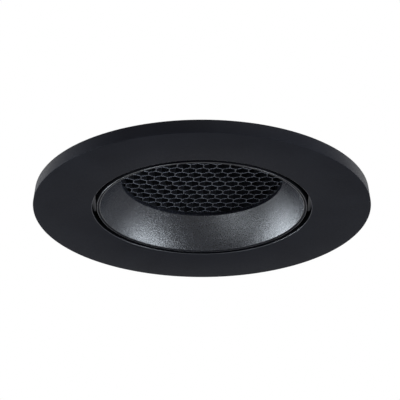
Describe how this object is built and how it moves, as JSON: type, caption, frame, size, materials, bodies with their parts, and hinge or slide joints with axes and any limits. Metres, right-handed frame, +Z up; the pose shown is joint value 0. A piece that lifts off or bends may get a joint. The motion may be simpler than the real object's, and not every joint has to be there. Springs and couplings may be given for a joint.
{
  "type": "soffit downlight",
  "caption": "Slim round black soffit downlight: a wide flat flange with a tilting, honeycomb-fronted lamp module in its opening and sprung clips behind.",
  "frame": {"origin": "on the flange's axis, in the plane of the rim that rests on the soffit", "axes": "+Z up into the soffit, away from the exposed face; +X along the tilt axis, through the spring clips; the picture is taken from below on the -Y side"},
  "size_m": [0.09, 0.09, 0.0225],
  "materials": {
    "black_coat": "matt black powder coat on a die casting",
    "foam": "closed-cell foam",
    "steel": "plain stainless",
    "plated_steel": "zinc-plated sheet",
    "spring_steel": "drawn spring wire",
    "black_rubber": "moulded rubber",
    "nylon": "natural nylon",
    "satin_black": "satin black with a fine grain",
    "black_anodised": "black anodised",
    "clear_lens": "clear toughened glass",
    "silicone": "translucent silicone",
    "phosphor": "yellow phosphor",
    "board_white": "white solder mask",
    "grey_pad": "soft thermal pad",
    "sink_coat": "dark coated die casting",
    "black_nylon": "moulded black nylon"
  },
  "bodies": {
    "trim": {"trim_ring": "black_coat", "soffit_gasket": "foam", "pivot_screw_left": "steel", "pivot_screw_right": "steel", "clip_bracket_left": "plated_steel", "clip_bracket_right": "plated_steel", "bracket_screws": "steel", "clip_pin_left": "steel", "clip_pin_right": "steel", "clip_spring_left": "spring_steel", "clip_spring_right": "spring_steel"},
    "left_clip": {"clip_arm_left": "plated_steel", "clip_pad_left": "black_rubber"},
    "right_clip": {"clip_arm_right": "plated_steel", "clip_pad_right": "black_rubber"},
    "lamp": {"gimbal_ring": "black_coat", "pivot_bush_left": "nylon", "pivot_bush_right": "nylon", "reflector": "satin_black", "louvre_ring": "black_anodised", "honeycomb_louvre": "black_anodised", "lens": "clear_lens", "lens_seal": "silicone", "led_chips": "phosphor", "led_board": "board_white", "thermal_pad": "grey_pad", "heat_sink": "sink_coat", "housing_screws": "steel", "gland_body": "black_nylon", "gland_seal": "black_rubber", "gland_nut": "black_nylon"}
  },
  "joints": [
    {"name": "lamp_tilt", "type": "hinge", "parent": "trim", "child": "lamp", "pos_m": [0, 0, 0.0015], "axis": [1, 0, 0], "range_deg": [-30, 30]},
    {"name": "left_clip_fold", "type": "hinge", "parent": "trim", "child": "left_clip", "pos_m": [-0.0342, 0, 0.0074], "axis": [0, 1, 0], "range_deg": [0, 120], "stiffness_Nm_per_rad": 0.043, "springref_deg": -51.57, "deforming": ["clip_spring_left"]},
    {"name": "right_clip_fold", "type": "hinge", "parent": "trim", "child": "right_clip", "pos_m": [0.0342, 0, 0.0074], "axis": [0, -1, 0], "range_deg": [0, 120], "stiffness_Nm_per_rad": 0.043, "springref_deg": -51.57, "deforming": ["clip_spring_right"]}
  ]
}
